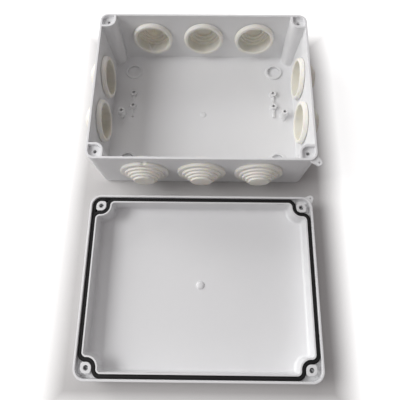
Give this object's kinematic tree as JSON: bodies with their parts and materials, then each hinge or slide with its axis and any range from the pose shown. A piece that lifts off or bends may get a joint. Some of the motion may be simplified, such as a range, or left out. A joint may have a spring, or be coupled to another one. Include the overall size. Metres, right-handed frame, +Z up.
{
  "type": "junction box",
  "caption": "Rectangular wall-mounted plastic junction box with stepped rubber cable entries, its screw-down lid taken off and laid upside down in front, gasket cord showing.",
  "frame": {"origin": "middle of the underside of the base box", "axes": "+X along the length of the box, +Y from the lid towards the back wall, +Z up out of the open base"},
  "size_m": [0.2142, 0.3335, 0.06],
  "materials": {
    "housing": "satin light grey moulded ABS",
    "grommet_rubber": "satin off-white soft rubber",
    "gasket_cord": "matte black foam rubber",
    "screw_steel": "zinc plated"
  },
  "bodies": {
    "base": {"base_box": "housing", "grommet_front_1": "grommet_rubber", "grommet_back_1": "grommet_rubber", "grommet_front_2": "grommet_rubber", "grommet_back_2": "grommet_rubber", "grommet_front_3": "grommet_rubber", "grommet_back_3": "grommet_rubber", "grommet_left_1": "grommet_rubber", "grommet_right_1": "grommet_rubber", "grommet_left_2": "grommet_rubber", "grommet_right_2": "grommet_rubber"},
    "lid": {"lid": "housing", "lid_gasket": "gasket_cord"},
    "screw_1": {"lid_screw_1": "screw_steel"},
    "screw_2": {"lid_screw_2": "screw_steel"},
    "screw_3": {"lid_screw_3": "screw_steel"},
    "screw_4": {"lid_screw_4": "screw_steel"}
  },
  "joints": [
    {"name": "lid_turn_over", "type": "hinge", "parent": "base", "child": "lid", "pos_m": [0, -0.0857, 0.04], "axis": [-1, 0, 0], "range_deg": [0, 180]},
    {"name": "screw_1_drive", "type": "slide", "parent": "lid", "child": "screw_1", "axis": [0, 0, 1], "range_m": [0, 0.0105]},
    {"name": "screw_2_drive", "type": "slide", "parent": "lid", "child": "screw_2", "axis": [0, 0, 1], "range_m": [0, 0.0105]},
    {"name": "screw_3_drive", "type": "slide", "parent": "lid", "child": "screw_3", "axis": [0, 0, 1], "range_m": [0, 0.0105]},
    {"name": "screw_4_drive", "type": "slide", "parent": "lid", "child": "screw_4", "axis": [0, 0, 1], "range_m": [0, 0.0105]}
  ]
}
